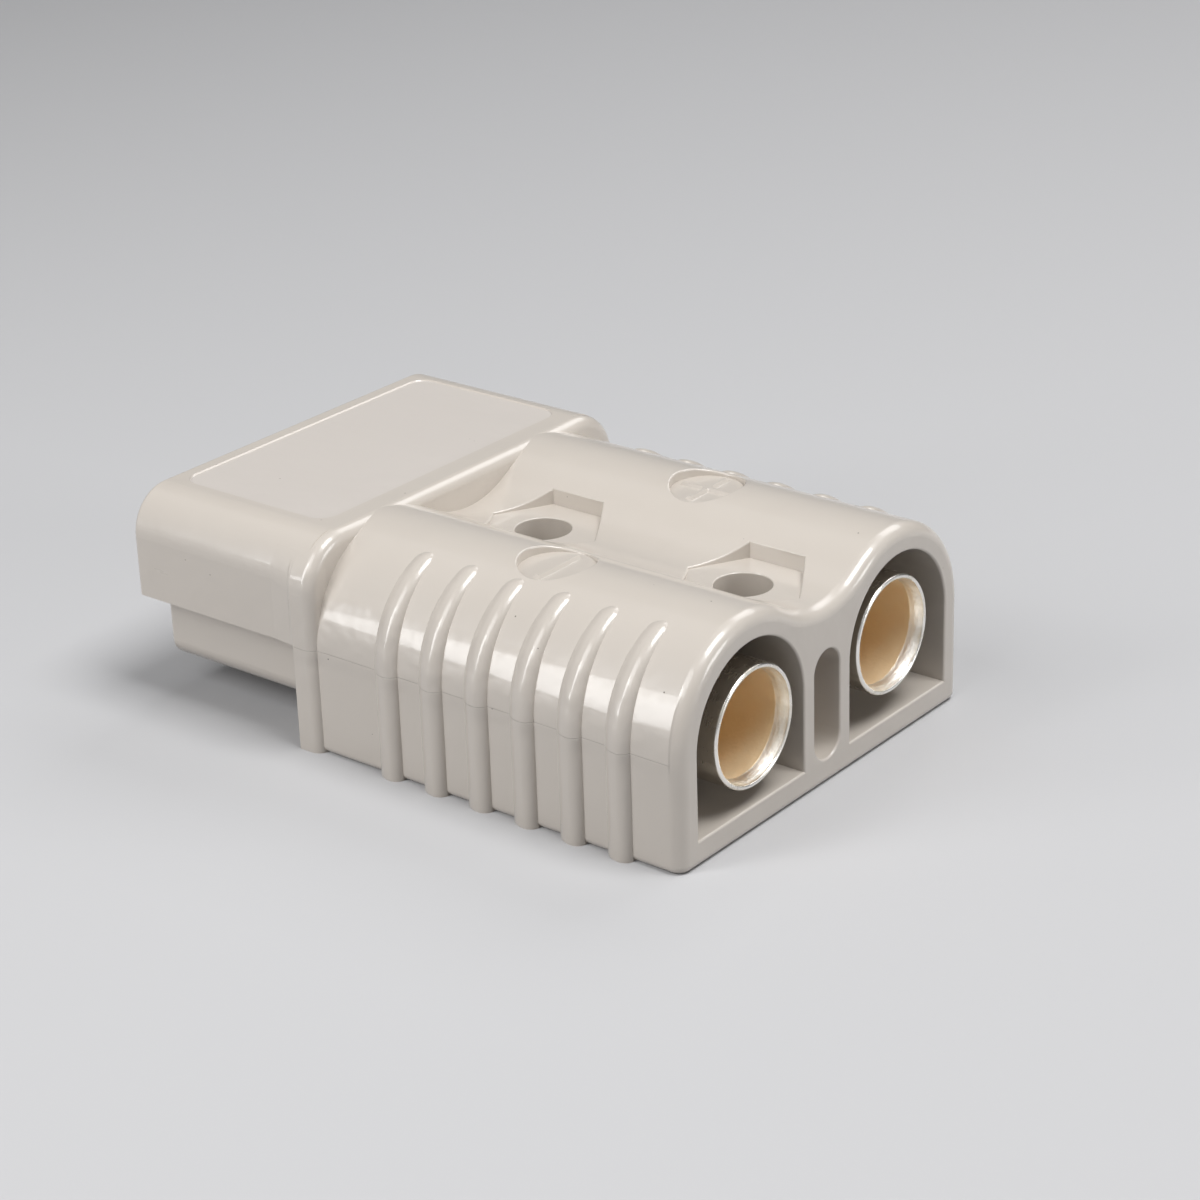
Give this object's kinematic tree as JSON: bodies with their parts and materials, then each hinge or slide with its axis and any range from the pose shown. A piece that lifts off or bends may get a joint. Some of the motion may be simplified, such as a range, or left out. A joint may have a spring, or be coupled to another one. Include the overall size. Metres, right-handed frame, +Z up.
{
  "type": "genderless power connector",
  "caption": "Genderless two-pole power connector: ribbed moulded housing with a hooded mating end, round crimp barrels in D-shaped cable openings, flat sprung contacts and mounting holes.",
  "frame": {"origin": "bottom centre of the bounding box: under the middle of the housing, on the flat base that it rests on", "axes": "+Y along the housing towards the mating front, +X across the two poles towards the positive one, +Z up from the flat base"},
  "size_m": [0.0744, 0.1064, 0.0343],
  "materials": {
    "housing_plastic": "moulded polycarbonate, warm light grey, glossy",
    "contact_silver": "copper with bright silver plating",
    "spring_steel": "stainless spring strip"
  },
  "bodies": {
    "root": {"housing": "housing_plastic", "contact_negative": "contact_silver", "contact_positive": "contact_silver", "retention_spring_negative": "spring_steel", "retention_spring_positive": "spring_steel"}
  },
  "joints": []
}
